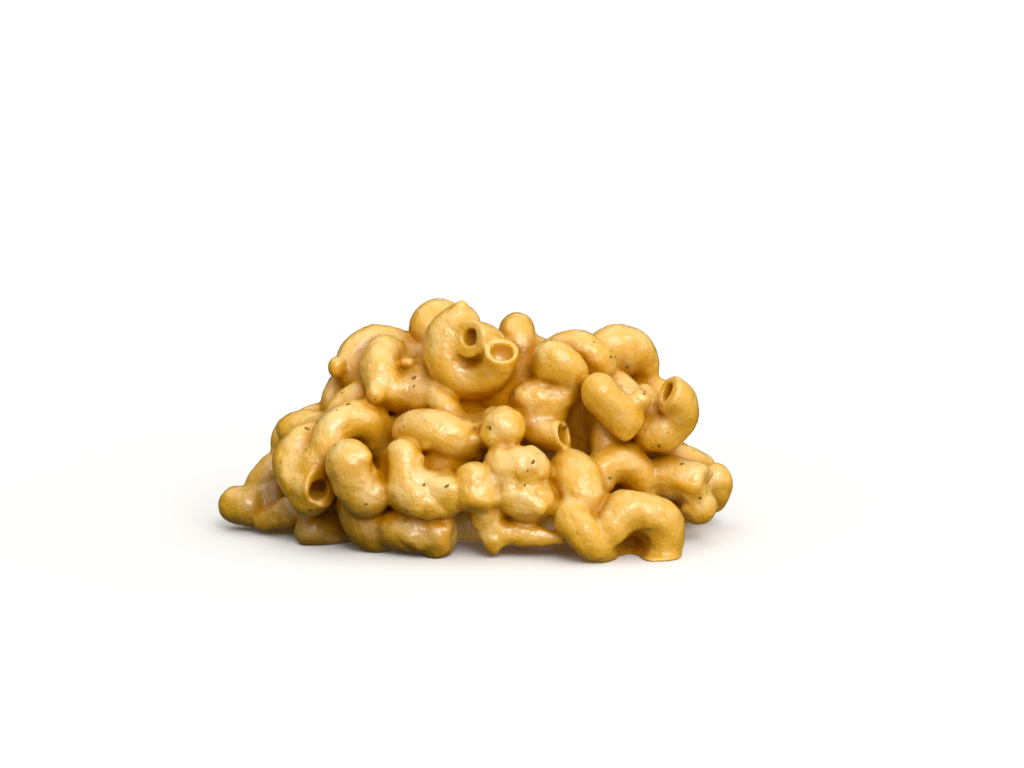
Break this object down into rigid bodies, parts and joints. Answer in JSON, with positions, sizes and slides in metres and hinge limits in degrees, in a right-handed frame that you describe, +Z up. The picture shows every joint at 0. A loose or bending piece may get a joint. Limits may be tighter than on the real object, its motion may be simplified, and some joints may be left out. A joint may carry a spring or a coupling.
{
  "type": "heap of macaroni and cheese",
  "caption": "Heap of corkscrew tube pasta coated in creamy cheese sauce with herb flecks, lying loose on a flat surface.",
  "frame": {"origin": "middle of the heap's box, on the flat surface that it lies on", "axes": "+X along the heap's long side, to the right as seen from its front; -Y towards the front; +Z up"},
  "size_m": [0.1294, 0.0808, 0.058],
  "materials": {
    "cheese_sauce": "cooked pasta under a creamy, half-glossy cheese sauce"
  },
  "bodies": {
    "root": {"macaroni_heap": "cheese_sauce"}
  },
  "joints": []
}
